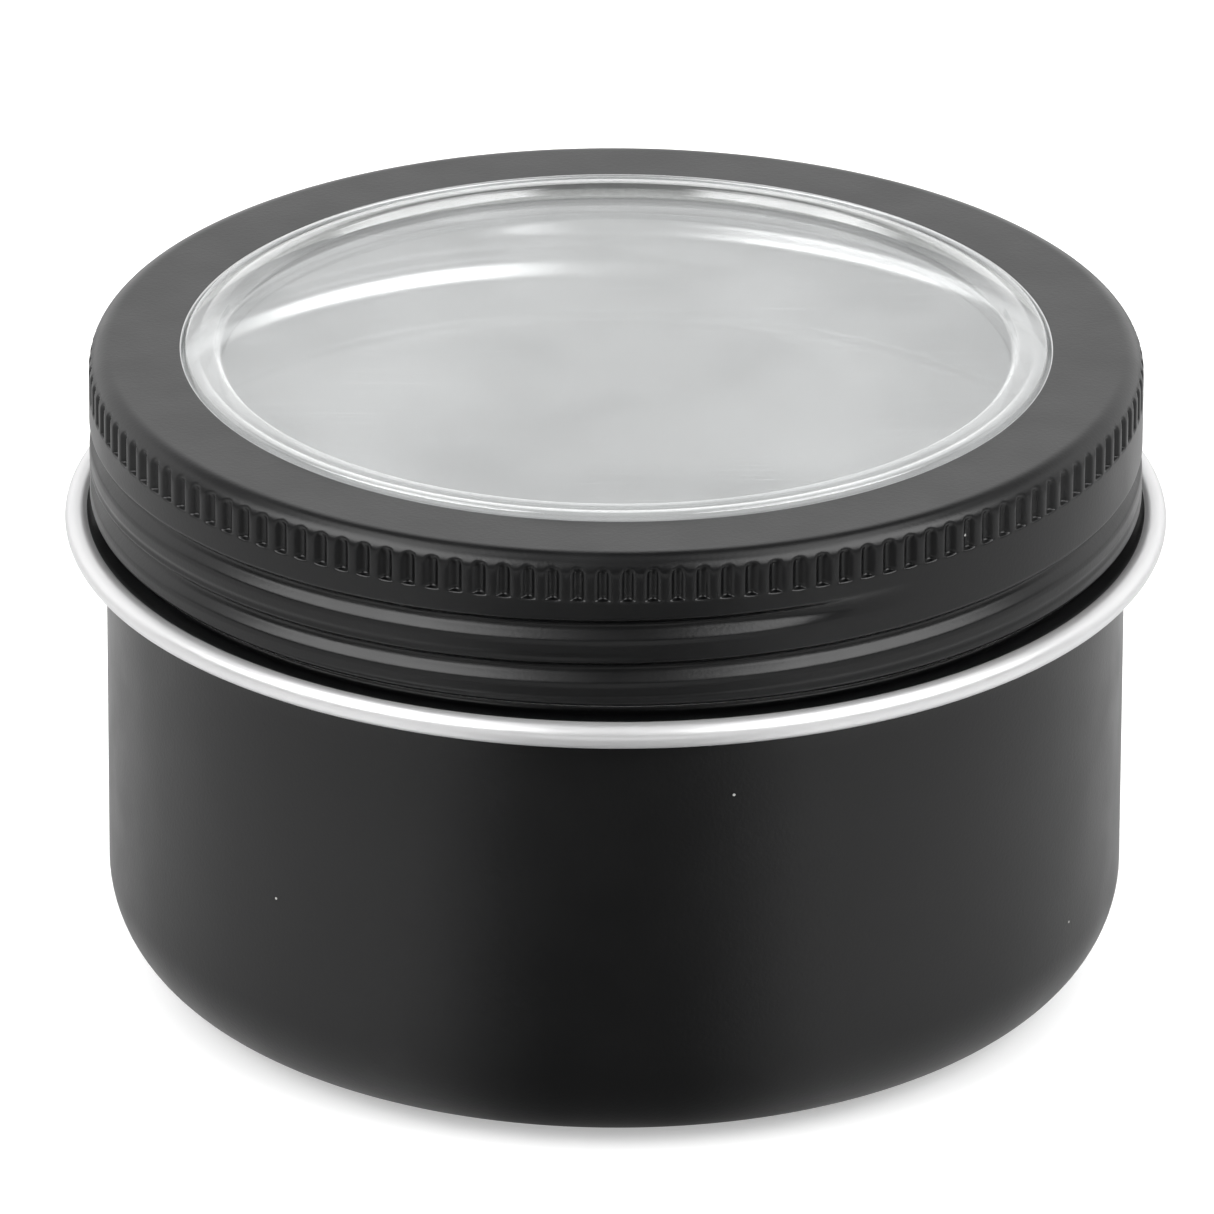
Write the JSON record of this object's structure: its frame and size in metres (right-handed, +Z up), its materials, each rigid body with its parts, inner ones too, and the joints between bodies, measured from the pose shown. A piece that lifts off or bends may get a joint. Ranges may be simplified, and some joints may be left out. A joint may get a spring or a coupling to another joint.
{
  "type": "candle tin",
  "caption": "Round aluminium screw tin for candles, with a rolled bead, a knurled screw lid and a clear raised window. The lid unscrews up its thread and off.",
  "frame": {"origin": "centre of the circle that the tin stands on, at the lowest point of the base", "axes": "+Z up along the tin's axis of symmetry, towards the lid; the front is at -Y"},
  "size_m": [0.083, 0.083, 0.05],
  "materials": {
    "tin": "satin black lacquer outside; bare satin aluminium on the bead, the neck and inside",
    "lid": "satin black lacquer outside, bare aluminium inside",
    "window": "clear moulded plastic, glossy, with light rub marks",
    "seal": "soft white liner, matte"
  },
  "bodies": {
    "tin": {"tin_body": "tin"},
    "seal": {"seal_ring": "seal"},
    "lid": {"lid_shell": "lid", "window_disc": "window"}
  },
  "joints": [
    {"name": "lid_rise", "type": "slide", "parent": "tin", "child": "seal", "axis": [0, 0, 1], "range_m": [0, 0.0119]},
    {"name": "lid_turn", "type": "hinge", "parent": "seal", "child": "lid", "pos_m": [0, 0, 0.0496], "axis": [0, 0, 1], "range_deg": [0, 1260]}
  ],
  "couplings": [
    {"joint": "lid_rise", "follows": "lid_turn", "m_per_rad": 0.00054113}
  ]
}
